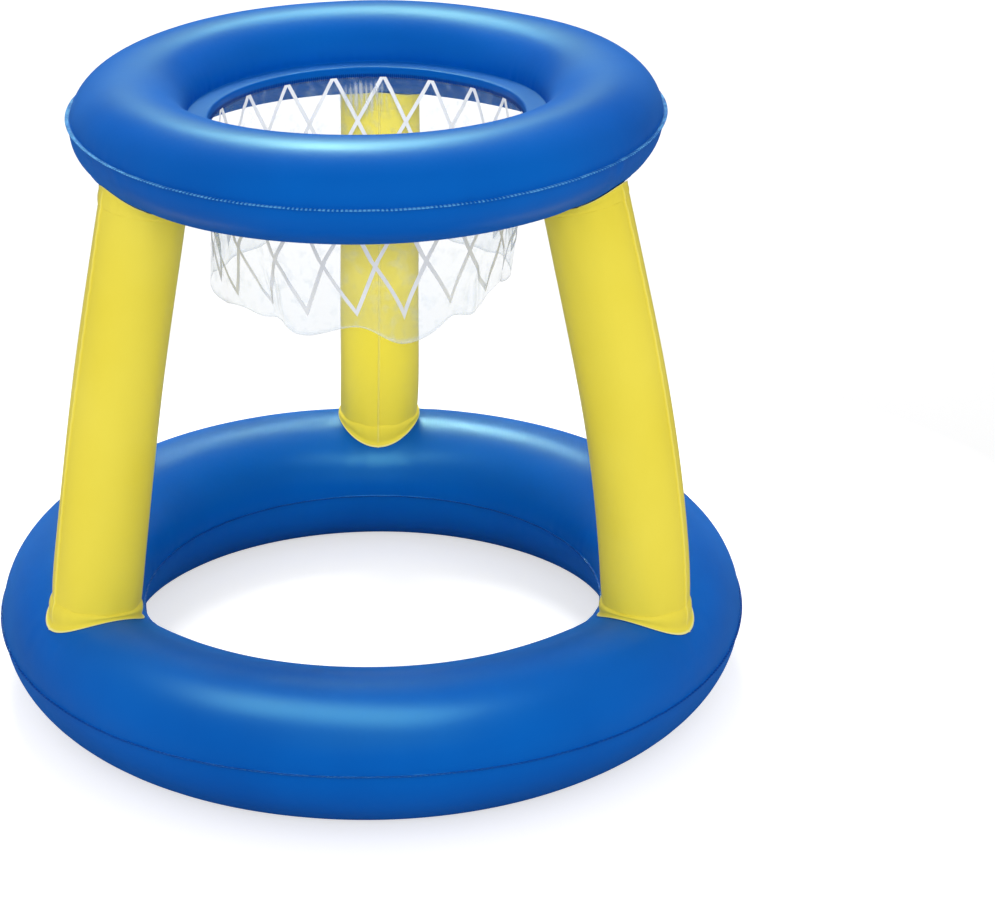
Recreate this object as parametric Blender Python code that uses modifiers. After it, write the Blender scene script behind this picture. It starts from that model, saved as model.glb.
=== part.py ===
"""Floating basketball hoop.

An inflatable base ring carries three inflatable legs, and the legs carry a smaller inflatable ring,
the hoop. A clear film net hangs from the hoop's inner seam. Each ring is two film panels welded
together at an outer and an inner seam, and each leg is two half-round panels welded along its outer
and inner side, with a collar at each end whose skirt is welded onto the ring. Each ring has one
push-in inflation valve.

Lengths are in metres and angles in degrees. +Z is up, the floor is z = 0 and the hoop's axis is Z.
"""

import bpy
import bmesh
import numpy as np
from math import radians
from mathutils import Matrix, Vector

# Film and the clearance between pieces that touch

RING_FILM = 0.00025
LEG_FILM = 0.00025
NET_FILM = 0.00020
TOUCH_GAP = 0.0003

# Base ring

BASE_CENTRE_RADIUS = 0.2475
BASE_TUBE_RADIUS = 0.0575
BASE_CONTACT_WIDTH = 0.016
BASE_SEAM_WIDTH = 0.003

# Hoop ring

HOOP_CENTRE_RADIUS = 0.184
HOOP_TUBE_HALF_WIDTH = 0.0445
HOOP_TUBE_HALF_HEIGHT = 0.038
HOOP_SEAM_HEIGHT = 0.473
HOOP_SEAM_WIDTH = 0.003
HOOP_THROAT_RADIUS = 0.1225
HOOP_LIP_DEPTH = 0.0048

# Legs

LEG_ANGLES = {"rear": 90, "left": 210, "right": 330}
LEG_FOOT_RADIUS = 0.0355
LEG_HEAD_RADIUS = 0.0333
LEG_FOOT_OUTSET = 0.0015
LEG_HEAD_OUTSET = 0.0062
LEG_BOW_HEIGHT_SHARE = 0.37
LEG_BOW_INWARD_SHARE = 0.13
LEG_SKIRT_WIDTH = 0.0048
LEG_SKIRT_LIFT = 0.0004
LEG_COLLAR_BULGE = 0.0030
LEG_COLLAR_NECK = 0.0035
LEG_COLLAR_ROUND_SHARE = 4
LEG_SEAM_WIDTH = 0.0015
LEG_SEAM_END_SHARE = 0.3
AIR_PORT_RADIUS = 0.006

# Net: it gathers and leans towards its hem. Its folds and its hem are sums of waves, each a count
# round the net, a share and a phase

NET_LENGTH = 0.138
NET_GATHER = 0.0055
NET_LEAN = 0.008
NET_FOLD_DEPTH = 0.0055
NET_FOLD_GROWTH = 1.4
NET_HEM_WAVE = 0.0075
NET_FOLD_WAVE_SHARES = ((7, 0.45, 0.6), (12, 0.35, 2.1), (17, 0.20, 4.0))
NET_HEM_WAVE_SHARES = ((5, 0.50, 1.2), (8, 0.30, 3.4), (13, 0.20, 0.3))

# Valves: z is measured outwards from the ring's wall, along the valve

VALVE_AZIMUTH = 60
BASE_VALVE_ELEVATION = 24
HOOP_VALVE_ELEVATION = 32
BOOT_FLANGE_RADIUS = 0.013
BOOT_FLANGE_THICKNESS = 0.0006
BOOT_NECK_RADIUS = 0.0082
BOOT_WALL = 0.0006
BOOT_DEPTH = 0.008
STEM_RADIUS = 0.0056
STEM_BORE_RADIUS = 0.0036
STEM_RISE = 0.0026
STEM_TRAVEL = 0.009
STEM_STOP_WIDTH = 0.0016
STEM_STOP_THICKNESS = 0.001
STRAP_REACH = 0.009
STRAP_WIDTH = 0.0036
STRAP_THICKNESS = 0.0008
STRAP_BEAD_RADIUS = 0.0008
STRAP_LIFT = 0.0004
STRAP_ARM_THICKNESS = 0.0014
PLUG_CAP_THICKNESS = 0.0012
PLUG_NOSE_LENGTH = 0.0043
PLUG_NOSE_TAPER = 0.001
PLUG_TAB_LENGTH = 0.002
FLAP_OVERLAP = 0.0008
FLAP_THICKNESS = 0.0005
FLAP_LUG_WIDTH = 0.003

# Facets, the one overrun that every cut shares, and how finely ends are merged and met

BASE_STEPS = 44
HOOP_STEPS = 36
TUBE_SEGMENTS = 8
LEG_SEGMENTS = 10
LEG_ROWS = 6
LEG_COLLAR_ROW_SHARES = (0, 0.5, 0.85, 1)
NET_STEPS = 60
NET_ROWS = 8
VALVE_STEPS = 20
CUT_OVERRUN = 0.012
MERGE_DISTANCE = 0.00002
HALVINGS = 30

# Worked out from the sizes above

BASE_SEAM_HEIGHT = np.sqrt(BASE_TUBE_RADIUS**2 - (BASE_CONTACT_WIDTH / 2) ** 2)
BASE_RING = (BASE_CENTRE_RADIUS, BASE_TUBE_RADIUS, BASE_TUBE_RADIUS, BASE_SEAM_HEIGHT)
HOOP_RING = (HOOP_CENTRE_RADIUS, HOOP_TUBE_HALF_WIDTH, HOOP_TUBE_HALF_HEIGHT, HOOP_SEAM_HEIGHT)
SEAM_OFFSET = TOUCH_GAP / 2 + RING_FILM
SKIRT_SEAT = TOUCH_GAP + LEG_SKIRT_LIFT + LEG_FILM
LEG_FOOT = np.array([BASE_CENTRE_RADIUS + LEG_FOOT_OUTSET, BASE_SEAM_HEIGHT + BASE_TUBE_RADIUS])
LEG_HEAD = np.array([HOOP_CENTRE_RADIUS + LEG_HEAD_OUTSET, HOOP_SEAM_HEIGHT - HOOP_TUBE_HALF_HEIGHT])
LEG_HEIGHT = LEG_HEAD[1] - LEG_FOOT[1]
NET_RADIUS = HOOP_THROAT_RADIUS + RING_FILM + TOUCH_GAP + NET_FILM
NET_TOP = HOOP_SEAM_HEIGHT - SEAM_OFFSET - TOUCH_GAP
STOP_TOP = -(BOOT_DEPTH + BOOT_WALL + TOUCH_GAP + STEM_TRAVEL)
STEM_END = STOP_TOP - STEM_STOP_THICKNESS


# Scene and materials

for old in list(bpy.data.objects):
    bpy.data.objects.remove(old, do_unlink=True)

hoop_collection = bpy.data.collections.new("floating_basketball_hoop")
cutter_collection = bpy.data.collections.new("cutters")
bpy.context.scene.collection.children.link(hoop_collection)
bpy.context.scene.collection.children.link(cutter_collection)


def vinyl(name, colour, roughness, alpha=1.0):
    """A smooth soft-vinyl finish."""
    material = bpy.data.materials.new(name)
    material.use_nodes = True
    shader = material.node_tree.nodes["Principled BSDF"]
    shader.inputs["Base Color"].default_value = (*colour, 1.0)
    shader.inputs["Roughness"].default_value = roughness
    shader.inputs["Metallic"].default_value = 0.0
    shader.inputs["Alpha"].default_value = alpha
    return material


BLUE_VINYL = vinyl("blue_vinyl", (0.0, 0.085, 0.42), 0.35)
YELLOW_VINYL = vinyl("yellow_vinyl", (0.80, 0.69, 0.09), 0.40)
CLEAR_FILM = vinyl("clear_film", (0.86, 0.91, 0.95), 0.12, 0.25)
VALVE_PLASTIC = vinyl("valve_plastic", (0.82, 0.84, 0.86), 0.30, 0.8)


# Helpers


def add_object(name, mesh, material=None):
    """Puts a mesh in the scene as one named piece, or as a cutter where it has no material."""
    piece = bpy.data.objects.new(name, mesh)
    if material:
        mesh.materials.append(material)
        hoop_collection.objects.link(piece)
    else:
        cutter_collection.objects.link(piece)
        piece.hide_render = True
        piece.display_type = "WIRE"
    return piece


def screw(piece, steps):
    """Turns a profile round Z, with its ends joined."""
    turn = piece.modifiers.new("turn", "SCREW")
    turn.axis = "Z"
    turn.steps = steps
    turn.render_steps = steps
    turn.use_merge_vertices = True
    turn.merge_threshold = MERGE_DISTANCE
    turn.use_smooth_shade = True


def wall(piece, thickness):
    """Gives an open surface its thickness, on its inner side."""
    solid = piece.modifiers.new("film", "SOLIDIFY")
    solid.thickness = thickness
    solid.offset = -1
    solid.use_even_offset = True


def profile_mesh(name, points, closed):
    """A profile in the XZ plane, as vertices joined by edges."""
    vertices = [(x, 0, z) for x, z in points]
    edges = [(i, i + 1) for i in range(len(points) - 1)]
    if closed:
        edges.append((len(points) - 1, 0))
    mesh = bpy.data.meshes.new(name)
    mesh.from_pydata(vertices, edges, [])
    return mesh


def turned_shell(name, points, steps, thickness, material):
    """A thin shell turned round Z from an open profile that runs down its outer side."""
    piece = add_object(name, profile_mesh(name, points, False), material)
    screw(piece, steps)
    wall(piece, thickness)
    return piece


def evaluated_copy(piece):
    """The piece with its modifiers applied, as a mesh of its own."""
    bpy.context.view_layer.update()
    graph = bpy.context.evaluated_depsgraph_get()
    mesh = bpy.data.meshes.new_from_object(piece.evaluated_get(graph))
    piece.modifiers.clear()
    old_mesh = piece.data
    piece.data = mesh
    bpy.data.meshes.remove(old_mesh)
    return piece


def grid_mesh(name, rows, closed_round):
    """Quads through rows of points, each row a (count, 3) array; normals face along row x column."""
    points = np.concatenate(rows)
    count = len(rows[0])
    columns = np.arange(count if closed_round else count - 1)
    faces = []
    for row in range(len(rows) - 1):
        a = row * count + columns
        b = row * count + (columns + 1) % count
        faces += np.stack([a, b, b + count, a + count], axis=1).tolist()
    mesh = bpy.data.meshes.new(name)
    mesh.from_pydata(points.tolist(), [], faces)
    mesh.shade_smooth()
    return mesh


def cylinder_mesh(name, radius, depth, steps, matrix):
    """A closed cylinder along its own Z, placed by a matrix."""
    shape = bmesh.new()
    bmesh.ops.create_cone(
        shape, cap_ends=True, segments=steps, radius1=radius, radius2=radius, depth=depth, matrix=matrix
    )
    mesh = bpy.data.meshes.new(name)
    shape.to_mesh(mesh)
    shape.free()
    return mesh


def box_mesh(name, low, high):
    """A closed box from its lowest to its highest corner."""
    low, high = Vector(low), Vector(high)
    size = high - low
    matrix = Matrix.Translation((low + high) / 2) @ Matrix.Diagonal((*size, 1.0))
    shape = bmesh.new()
    bmesh.ops.create_cube(shape, size=1.0, matrix=matrix)
    mesh = bpy.data.meshes.new(name)
    shape.to_mesh(mesh)
    shape.free()
    return mesh


def combine(piece, other, operation):
    """A Boolean with another object, which stays as a hidden helper."""
    cut = piece.modifiers.new(other.name, "BOOLEAN")
    cut.operation = operation
    cut.object = other


# Rings


def tube_point(ring, angle):
    """A point of the ring's wall in its (radius, height) section, by its angle above the outer seam."""
    centre_radius, half_width, half_height, seam_height = ring
    return (
        centre_radius + half_width * np.cos(angle),
        seam_height + half_height * np.sin(angle),
    )


def seam_angle(ring):
    """The angle at which the wall stands one seam offset above or below the seam's middle."""
    return np.arcsin(SEAM_OFFSET / ring[2])


def upper_profile(ring, outer_tip, inner_tip):
    """The upper panel: inner seam, up and over the tube, outer seam."""
    start = seam_angle(ring)
    wall_angles = np.linspace(np.pi - start, start, TUBE_SEGMENTS + 1)
    height = ring[3] + SEAM_OFFSET
    return [(inner_tip, height)] + [tube_point(ring, a) for a in wall_angles] + [(outer_tip, height)]


def base_ring():
    """The base ring's two panels; the lower one stands on a flat strip of its own film."""
    outer_tip = BASE_CENTRE_RADIUS + BASE_TUBE_RADIUS + BASE_SEAM_WIDTH
    inner_tip = BASE_CENTRE_RADIUS - BASE_TUBE_RADIUS - BASE_SEAM_WIDTH
    upper = upper_profile(BASE_RING, outer_tip, inner_tip)
    start = seam_angle(BASE_RING)
    flat_edge = np.pi / 2 - np.arcsin(BASE_CONTACT_WIDTH / 2 / BASE_TUBE_RADIUS)
    outer_half = np.linspace(-start, -flat_edge, TUBE_SEGMENTS // 2 + 1)
    inner_half = -np.pi - outer_half[::-1]
    height = BASE_SEAM_HEIGHT - SEAM_OFFSET
    lower = [(outer_tip, height)]
    lower += [tube_point(BASE_RING, a) for a in (*outer_half, *inner_half)]
    lower += [(inner_tip, height)]
    turned_shell("base_ring_upper_film", upper, BASE_STEPS, RING_FILM, BLUE_VINYL)
    turned_shell("base_ring_lower_film", lower, BASE_STEPS, RING_FILM, BLUE_VINYL)


def hoop_ring():
    """The hoop's two panels; the lower one's inner seam turns down as the lip that carries the net."""
    outer_tip = HOOP_CENTRE_RADIUS + HOOP_TUBE_HALF_WIDTH + HOOP_SEAM_WIDTH
    upper = upper_profile(HOOP_RING, outer_tip, HOOP_THROAT_RADIUS)
    start = seam_angle(HOOP_RING)
    height = HOOP_SEAM_HEIGHT - SEAM_OFFSET
    lip_radius = HOOP_THROAT_RADIUS + RING_FILM
    lower = [(outer_tip, height)]
    lower += [tube_point(HOOP_RING, a) for a in np.linspace(-start, start - np.pi, TUBE_SEGMENTS + 1)]
    lower += [(lip_radius, height), (lip_radius, height - HOOP_LIP_DEPTH)]
    turned_shell("hoop_ring_upper_film", upper, HOOP_STEPS, RING_FILM, BLUE_VINYL)
    turned_shell("hoop_ring_lower_film", lower, HOOP_STEPS, RING_FILM, BLUE_VINYL)


def air_ports():
    """Holes in the base ring's crest through which each leg shares the ring's air."""
    upper = bpy.data.objects["base_ring_upper_film"]
    for name, angle in LEG_ANGLES.items():
        crest = (BASE_CENTRE_RADIUS, 0, BASE_SEAM_HEIGHT + BASE_TUBE_RADIUS)
        place = Matrix.Rotation(radians(angle), 4, "Z") @ Matrix.Translation(crest)
        label = f"{name}_air_port"
        combine(
            upper,
            add_object(label, cylinder_mesh(label, AIR_PORT_RADIUS, CUT_OVERRUN, VALVE_STEPS, place)),
            "DIFFERENCE",
        )


# Legs


def leg_centre(along):
    """The leg's middle line in (radius, height), and its direction there. It is a bowed curve from the
    base's crest to the hoop's underside, and goes on straight past both of its ends."""
    bow = LEG_FOOT + (LEG_HEAD - LEG_FOOT) * np.array([LEG_BOW_INWARD_SHARE, LEG_BOW_HEIGHT_SHARE])
    t = np.clip(along, 0, 1)[..., None]
    place = (1 - t) ** 2 * LEG_FOOT + 2 * t * (1 - t) * bow + t**2 * LEG_HEAD
    direction = (1 - t) * (bow - LEG_FOOT) + t * (LEG_HEAD - bow)
    direction = direction / np.linalg.norm(direction, axis=-1, keepdims=True)
    return place + (along[..., None] - t) * LEG_HEIGHT * direction, direction


def leg_points(along, angle, extra_radius):
    """Points of the leg's wall. angle goes round the tube from its outer side; extra_radius flares it."""
    place, direction = leg_centre(along)
    radius = LEG_FOOT_RADIUS + (LEG_HEAD_RADIUS - LEG_FOOT_RADIUS) * np.clip(along, 0, 1) + extra_radius
    outward = radius * np.cos(angle)
    return np.stack(
        [
            place[..., 0] + outward * direction[..., 1],
            radius * np.sin(angle),
            place[..., 1] - outward * direction[..., 0],
        ],
        axis=-1,
    )


def ring_level(points, ring, offset):
    """Below zero inside a ring's wall moved out by offset, above zero outside it."""
    centre_radius, half_width, half_height, seam_height = ring
    radial = (np.hypot(points[..., 0], points[..., 1]) - centre_radius) / (half_width + offset)
    vertical = (points[..., 2] - seam_height) / (half_height + offset)
    return radial**2 + vertical**2 - 1


def meet_ring(ring, angle, extra_radius, offset):
    """How far along the leg each line of its wall comes within offset of a ring, by halving the span
    from the middle of the leg to the middle of the ring's tube."""
    depth = ring[2] / LEG_HEIGHT
    inside = np.full_like(angle, -depth if ring is BASE_RING else 1 + depth)
    outside = np.full_like(angle, 1 / 2)
    for _ in range(HALVINGS):
        middle = (outside + inside) / 2
        clear = ring_level(leg_points(middle, angle, extra_radius), ring, offset) > 0
        outside = np.where(clear, middle, outside)
        inside = np.where(clear, inside, middle)
    return outside


def leg_columns(side):
    """Angles round one half panel, and how far each column stands out in the seams at both ends."""
    half_gap = TOUCH_GAP / 2 + LEG_FILM
    tip = np.arcsin(half_gap / (LEG_HEAD_RADIUS + LEG_SEAM_WIDTH))
    root = np.arcsin(half_gap / LEG_HEAD_RADIUS)
    round_wall = np.linspace(root, np.pi - root, LEG_SEGMENTS + 1)
    angles = np.concatenate([[tip], round_wall, [np.pi - tip]]) + side * np.pi
    seam = np.zeros_like(angles)
    seam[[0, -1]] = LEG_SEAM_WIDTH
    return angles, seam


def collar_rows(ring, angles, seam):
    """Rows from a collar's skirt on the ring's wall, up its full wall, to the level crease of the tube. At
    the ring the side seams stand off its wall, and from there on off the leg's."""
    seat = SKIRT_SEAT + seam * LEG_SEAM_END_SHARE
    edge = meet_ring(ring, angles, LEG_SKIRT_WIDTH, seat)
    foot = meet_ring(ring, angles, LEG_COLLAR_BULGE, seat)
    neck = LEG_COLLAR_NECK / LEG_HEIGHT
    crease = foot.max() + neck if ring is BASE_RING else foot.min() - neck
    rows = [(edge, LEG_SKIRT_WIDTH)]
    for up in LEG_COLLAR_ROW_SHARES:
        bulge = LEG_COLLAR_BULGE * (1 - up**LEG_COLLAR_ROUND_SHARE)
        rows.append((foot + (crease - foot) * up, bulge + seam * up))
    return rows


def leg_panel(name, leg_angle, side):
    """One half-round panel of a leg: foot collar, bowed tube wall with its two seams, head collar."""
    angles, seam = leg_columns(side)
    foot = collar_rows(BASE_RING, angles, seam)
    head = collar_rows(HOOP_RING, angles, seam)
    low, high = foot[-1][0], head[-1][0]
    middle = [(low + (high - low) * s, seam) for s in np.linspace(0, 1, LEG_ROWS + 1)[1:-1]]
    turn = np.array(Matrix.Rotation(radians(leg_angle), 3, "Z"))
    rows = [leg_points(along, angles, extra) @ turn.T for along, extra in foot + middle + head[::-1]]
    piece = add_object(name, grid_mesh(name, rows, False), YELLOW_VINYL)
    wall(piece, LEG_FILM)


def legs():
    """Three legs, each of a left and a right panel as seen from outside the ring."""
    for name, angle in LEG_ANGLES.items():
        leg_panel(f"{name}_leg_right_film", angle, 0)
        leg_panel(f"{name}_leg_left_film", angle, 1)


# Net


def wave_sum(angle, wave_shares):
    """A sum of waves round the net, between about -1 and 1."""
    return sum(share * np.sin(count * angle + phase) for count, share, phase in wave_shares)


def net():
    """The clear film: plain where it is welded behind the lip, then gathered, folded and leaning more
    and more down to a wavy hem."""
    angle = np.linspace(0, 2 * np.pi, NET_STEPS, endpoint=False)
    hem = NET_TOP - NET_LENGTH + NET_HEM_WAVE * wave_sum(angle, NET_HEM_WAVE_SHARES)
    folds = NET_FOLD_DEPTH * wave_sum(angle, NET_FOLD_WAVE_SHARES)
    lip_end = NET_TOP - HOOP_LIP_DEPTH
    rows = [np.stack([NET_RADIUS * np.cos(angle), NET_RADIUS * np.sin(angle), 0 * angle + NET_TOP], axis=1)]
    for down in np.linspace(0, 1, NET_ROWS):
        loose = down**NET_FOLD_GROWTH
        radius = NET_RADIUS + (folds - NET_GATHER) * loose
        height = lip_end + (hem - lip_end) * down
        x = radius * np.cos(angle) - NET_LEAN * loose
        rows.append(np.stack([x, radius * np.sin(angle), height], axis=1))
    piece = add_object("net_film", grid_mesh("net_film", rows[::-1], True), CLEAR_FILM)
    wall(piece, NET_FILM)


# Valves


def valve_frame(ring, elevation):
    """The valve's place on a ring's wall: its own Z points outwards and its own Y up the wall."""
    angle = radians(elevation)
    radius, height = tube_point(ring, angle)
    outward = Vector((np.cos(angle) / ring[1], 0, np.sin(angle) / ring[2])).normalized()
    up_wall = Vector((-outward.z, 0, outward.x))
    sideways = up_wall.cross(outward)
    axes = Matrix((sideways, up_wall, outward)).transposed().to_4x4()
    return (
        Matrix.Rotation(radians(VALVE_AZIMUTH), 4, "Z") @ Matrix.Translation((radius, 0, height)) @ axes
    )


def wall_curvatures(ring, elevation):
    """One over the wall's radius along the ring, and up the wall, at the valve."""
    angle = radians(elevation)
    radius = tube_point(ring, angle)[0]
    stretch = np.hypot(ring[1] * np.sin(angle), ring[2] * np.cos(angle))
    outward_radial = ring[2] * np.cos(angle) / stretch
    return outward_radial / radius, ring[1] * ring[2] / stretch**3


def valve_boot(name, frame, ring, elevation):
    """The soft cup welded on the wall: its flange follows the wall and its floor guides the stem."""
    flange_top = TOUCH_GAP + BOOT_FLANGE_THICKNESS
    neck_outside = BOOT_NECK_RADIUS + BOOT_WALL
    guide_radius = STEM_RADIUS + TOUCH_GAP
    profile = [
        (BOOT_NECK_RADIUS, flange_top),
        (BOOT_FLANGE_RADIUS, flange_top),
        (BOOT_FLANGE_RADIUS, TOUCH_GAP),
        (neck_outside, TOUCH_GAP),
        (neck_outside, -BOOT_DEPTH - BOOT_WALL),
        (guide_radius, -BOOT_DEPTH - BOOT_WALL),
        (guide_radius, -BOOT_DEPTH),
        (BOOT_NECK_RADIUS, -BOOT_DEPTH),
    ]
    piece = add_object(name, profile_mesh(name, profile, True), VALVE_PLASTIC)
    screw(piece, VALVE_STEPS)
    evaluated_copy(piece)
    along_ring, up_wall = wall_curvatures(ring, elevation)
    for vertex in piece.data.vertices:
        drop = (along_ring * vertex.co.x**2 + up_wall * vertex.co.y**2) / 2
        share = min(1, (vertex.co.z + BOOT_DEPTH + BOOT_WALL) / BOOT_DEPTH)
        vertex.co.z -= drop * share
    piece.matrix_world = frame


def valve_stem(name, frame):
    """The tube that is pushed in after filling, with its stop, the plug strap's arm and the flap's lug."""
    profile = [
        (STEM_BORE_RADIUS, STEM_RISE),
        (STEM_RADIUS, STEM_RISE),
        (STEM_RADIUS, STOP_TOP),
        (STEM_RADIUS + STEM_STOP_WIDTH, STOP_TOP),
        (STEM_RADIUS + STEM_STOP_WIDTH, STEM_END),
        (STEM_BORE_RADIUS, STEM_END),
    ]
    piece = add_object(name, profile_mesh(name, profile, True), VALVE_PLASTIC)
    screw(piece, VALVE_STEPS)
    middle_wall = (STEM_BORE_RADIUS + STEM_RADIUS) / 2
    groove = STRAP_BEAD_RADIUS + TOUCH_GAP
    arm = box_mesh(
        f"{name}_arm",
        (-STRAP_REACH - groove, -STRAP_WIDTH / 2, STEM_RISE - STRAP_ARM_THICKNESS),
        (-middle_wall, STRAP_WIDTH / 2, STEM_RISE - TOUCH_GAP / 2),
    )
    combine(piece, add_object(f"{name}_arm", arm), "UNION")
    lug_top = STEM_END + STEM_STOP_THICKNESS / 2
    lug = box_mesh(
        f"{name}_lug",
        (-STEM_RADIUS - STEM_STOP_WIDTH / 2, -FLAP_LUG_WIDTH / 2, STEM_END - TOUCH_GAP - FLAP_THICKNESS),
        (-STEM_BORE_RADIUS - FLAP_OVERLAP - TOUCH_GAP, FLAP_LUG_WIDTH / 2, lug_top),
    )
    combine(piece, add_object(f"{name}_lug", lug), "UNION")
    hinge = strap_hinge()
    label = f"{name}_groove"
    groove_mesh = cylinder_mesh(label, groove, STRAP_WIDTH + CUT_OVERRUN, VALVE_STEPS, hinge)
    combine(piece, add_object(label, groove_mesh), "DIFFERENCE")
    evaluated_copy(piece)
    piece.matrix_world = frame


def strap_hinge():
    """The plug's hinge line in the valve's own frame, as the Z axis of this matrix."""
    place = (-STRAP_REACH, 0, STEM_RISE + STRAP_LIFT)
    return Matrix.Translation(place) @ Matrix.Rotation(radians(90), 4, "X")


def valve_plug(name, frame):
    """The plug that closes the stem: cap, tapered nose, pull tab, strap and the bead it swings on."""
    cap_under = STEM_RISE + TOUCH_GAP
    cap_top = cap_under + PLUG_CAP_THICKNESS
    nose_radius = STEM_BORE_RADIUS - TOUCH_GAP
    profile = [
        (0, cap_top),
        (STEM_RADIUS, cap_top),
        (STEM_RADIUS, cap_under),
        (nose_radius, cap_under),
        (nose_radius - PLUG_NOSE_TAPER, cap_under - PLUG_NOSE_LENGTH),
        (0, cap_under - PLUG_NOSE_LENGTH),
    ]
    piece = add_object(name, profile_mesh(name, profile, False), VALVE_PLASTIC)
    screw(piece, VALVE_STEPS)
    strap_low = cap_under + (PLUG_CAP_THICKNESS - STRAP_THICKNESS) / 2
    strap_high = strap_low + STRAP_THICKNESS
    strap = box_mesh(
        f"{name}_strap",
        (-STRAP_REACH, -STRAP_WIDTH / 2 + TOUCH_GAP, strap_low),
        (STEM_RADIUS + PLUG_TAB_LENGTH, STRAP_WIDTH / 2 - TOUCH_GAP, strap_high),
    )
    combine(piece, add_object(f"{name}_strap", strap), "UNION")
    label = f"{name}_bead"
    bead = cylinder_mesh(label, STRAP_BEAD_RADIUS, STRAP_WIDTH, VALVE_STEPS, strap_hinge())
    combine(piece, add_object(label, bead), "UNION")
    evaluated_copy(piece)
    swing = Matrix.Translation((-STRAP_REACH, 0, STEM_RISE + STRAP_LIFT))
    piece.data.transform(swing.inverted())
    piece.matrix_world = frame @ swing


def valve_flap(name, frame):
    """The soft disc that closes the stem's inner end and opens inwards as air is blown in."""
    radius = STEM_BORE_RADIUS + FLAP_OVERLAP
    middle = STEM_END - TOUCH_GAP - FLAP_THICKNESS / 2
    mesh = cylinder_mesh(name, radius, FLAP_THICKNESS, VALVE_STEPS, Matrix.Translation((radius, 0, 0)))
    piece = add_object(name, mesh, VALVE_PLASTIC)
    piece.matrix_world = frame @ Matrix.Translation((-radius, 0, middle))


def valve(prefix, ring, elevation, film_name):
    """One valve on a ring's rear outer wall, with the hole in the film that its boot's neck goes through."""
    frame = valve_frame(ring, elevation)
    valve_boot(f"{prefix}_valve_boot", frame, ring, elevation)
    valve_stem(f"{prefix}_valve_stem", frame)
    valve_plug(f"{prefix}_valve_plug", frame)
    valve_flap(f"{prefix}_valve_flap", frame)
    label = f"{prefix}_valve_hole"
    hole_radius = BOOT_NECK_RADIUS + BOOT_WALL + TOUCH_GAP
    hole = add_object(label, cylinder_mesh(label, hole_radius, CUT_OVERRUN, VALVE_STEPS, frame))
    combine(bpy.data.objects[film_name], hole, "DIFFERENCE")
    hinge = frame @ strap_hinge()
    flap = bpy.data.objects[f"{prefix}_valve_flap"].matrix_world
    for label, vector in (
        ("valve axis", frame.col[2]),
        ("plug hinge at", hinge.translation),
        ("plug hinge axis", hinge.col[2]),
        ("flap hinge at", flap.translation),
    ):
        print(prefix, label, [round(x, 5) for x in vector[:3]])


base_ring()
hoop_ring()
air_ports()
legs()
net()
valve("base", BASE_RING, BASE_VALVE_ELEVATION, "base_ring_upper_film")
valve("hoop", HOOP_RING, HOOP_VALVE_ELEVATION, "hoop_ring_upper_film")
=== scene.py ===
# %% [markdown]
# # A floating basketball hoop
#
# The real object is a pool toy made of soft vinyl film: a blue inflated base ring, three yellow
# inflated legs, a smaller blue ring as the hoop, and a clear film net with a printed white pattern.
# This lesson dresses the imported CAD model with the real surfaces. Every new piece is a surface that
# numpy works out from a formula, and it rides on one of the model's bodies.

import bpy
import numpy as np
from mathutils import Matrix, Quaternion, Vector


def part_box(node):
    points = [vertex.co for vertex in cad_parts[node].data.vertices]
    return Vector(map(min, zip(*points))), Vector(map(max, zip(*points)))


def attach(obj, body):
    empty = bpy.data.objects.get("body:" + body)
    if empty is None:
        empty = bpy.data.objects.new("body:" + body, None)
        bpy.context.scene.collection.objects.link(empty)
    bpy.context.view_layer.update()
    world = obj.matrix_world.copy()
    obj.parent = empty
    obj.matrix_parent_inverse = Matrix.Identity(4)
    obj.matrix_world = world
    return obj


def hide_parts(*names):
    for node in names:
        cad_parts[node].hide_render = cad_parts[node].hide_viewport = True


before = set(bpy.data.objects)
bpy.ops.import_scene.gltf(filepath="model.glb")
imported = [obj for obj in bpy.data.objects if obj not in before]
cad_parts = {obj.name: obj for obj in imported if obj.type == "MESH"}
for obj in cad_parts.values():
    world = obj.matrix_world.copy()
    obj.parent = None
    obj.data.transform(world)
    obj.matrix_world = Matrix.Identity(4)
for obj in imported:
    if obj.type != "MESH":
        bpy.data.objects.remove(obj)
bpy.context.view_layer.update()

# %% [markdown]
# ## The sizes that the pieces share
#
# A hoop like this is drawn from a few numbers: where each ring's tube runs, how thick it is, and
# where its welded seams sit. They are the same as the solids' sizes, in metres, and the check below
# prints how well they agree with the solids' boxes.

# %% Name the sizes
BASE_CENTRE_RADIUS = 0.2475
BASE_TUBE_RADIUS = 0.0575
BASE_CONTACT_WIDTH = 0.016
BASE_SEAM_WIDTH = 0.0018
HOOP_CENTRE_RADIUS = 0.184
HOOP_HALF_WIDTH = 0.0445
HOOP_HALF_HEIGHT = 0.038
HOOP_SEAM_HEIGHT = 0.473
HOOP_SEAM_WIDTH = 0.0032
THROAT_RADIUS = 0.1225
LIP_DEPTH = 0.009
SEAM_HALF_THICKNESS = 0.00045
HOOP_TILT = 0.0145
LEG_ANGLES = {"rear": 90, "left": 210, "right": 330}

BASE_SEAM_HEIGHT = np.sqrt(BASE_TUBE_RADIUS**2 - (BASE_CONTACT_WIDTH / 2) ** 2)
BASE_RING = (BASE_CENTRE_RADIUS, BASE_TUBE_RADIUS, BASE_TUBE_RADIUS, BASE_SEAM_HEIGHT)
HOOP_RING = (HOOP_CENTRE_RADIUS, HOOP_HALF_WIDTH, HOOP_HALF_HEIGHT, HOOP_SEAM_HEIGHT)

low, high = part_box("base_ring_upper_film")
print("base ring: solid reaches", round(high.x, 4), "and this surface", BASE_CENTRE_RADIUS + BASE_TUBE_RADIUS + BASE_SEAM_WIDTH)
low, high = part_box("hoop_ring_upper_film")
print("hoop: solid's top is at", round(high.z, 4), "and this surface's at", HOOP_SEAM_HEIGHT + HOOP_HALF_HEIGHT)

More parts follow.
